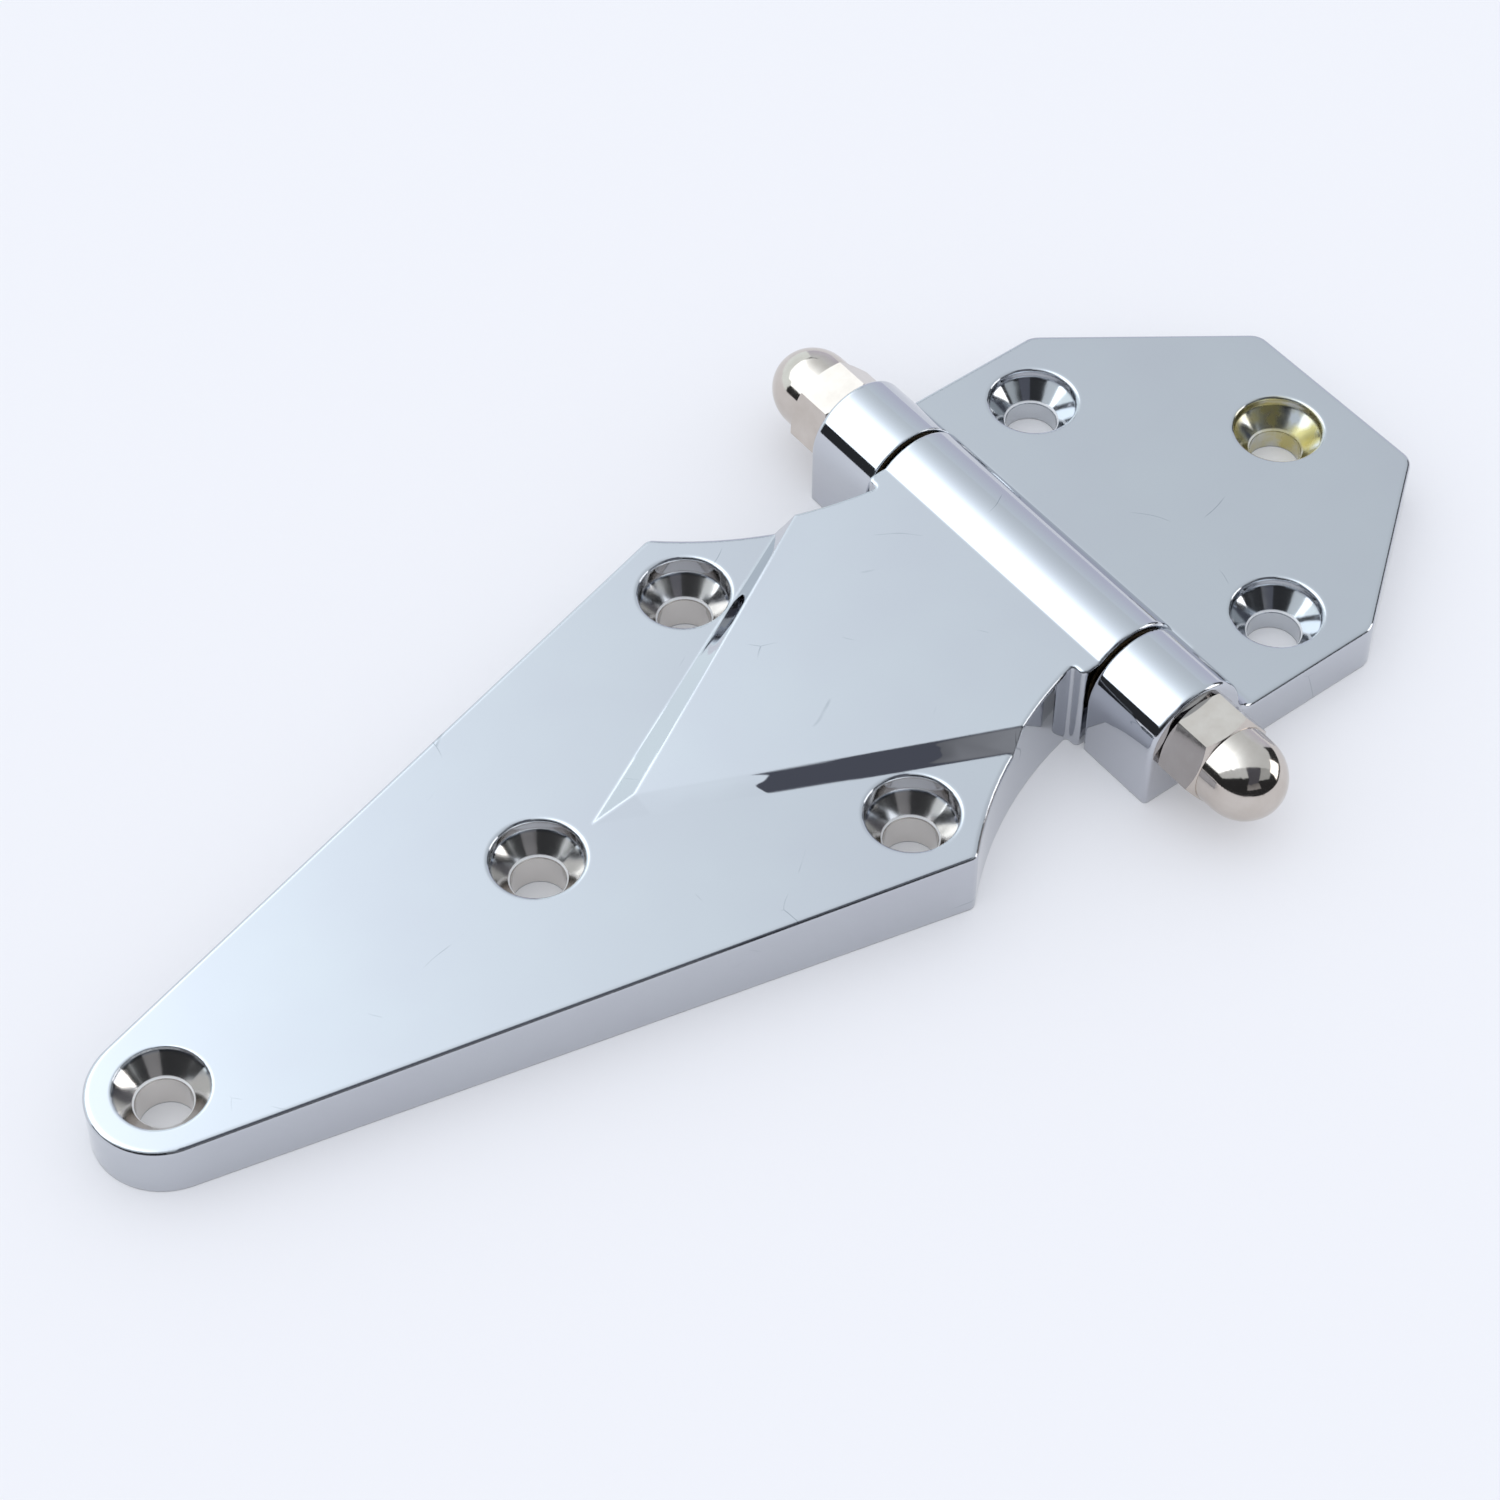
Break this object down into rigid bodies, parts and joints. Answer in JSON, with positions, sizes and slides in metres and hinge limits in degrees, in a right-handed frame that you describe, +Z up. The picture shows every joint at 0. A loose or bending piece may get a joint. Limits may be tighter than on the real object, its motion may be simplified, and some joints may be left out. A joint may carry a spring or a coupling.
{
  "type": "strap hinge",
  "caption": "Strap hinge for a heavy insulated door: long tapered strap, short fixed leaf, through pin held by cap nuts, countersunk screw holes.",
  "frame": {"origin": "on the mounting surface, straight under the middle of the hinge pin", "axes": "+X from the pin toward the short fixed leaf, strap toward -X; +Y along the pin; +Z up, away from the mounting surface"},
  "size_m": [0.1869, 0.0924, 0.0155],
  "materials": {
    "chromed_casting": "cast leaves, polished and chrome plated",
    "pin_steel": "turned steel, zinc plated",
    "bush_bronze": "plain sintered bronze",
    "nickel_plate": "warm bright nickel plate"
  },
  "bodies": {
    "frame_side": {"fixed_leaf": "chromed_casting", "hinge_pin": "pin_steel", "cap_nut_near": "nickel_plate", "cap_nut_far": "nickel_plate"},
    "door_side": {"strap_leaf": "chromed_casting", "bush_near": "bush_bronze", "bush_far": "bush_bronze"}
  },
  "joints": [
    {"name": "hinge_turn", "type": "hinge", "parent": "frame_side", "child": "door_side", "pos_m": [0, 0, 0.0081], "axis": [0, 1, 0], "range_deg": [0, 130]}
  ]
}
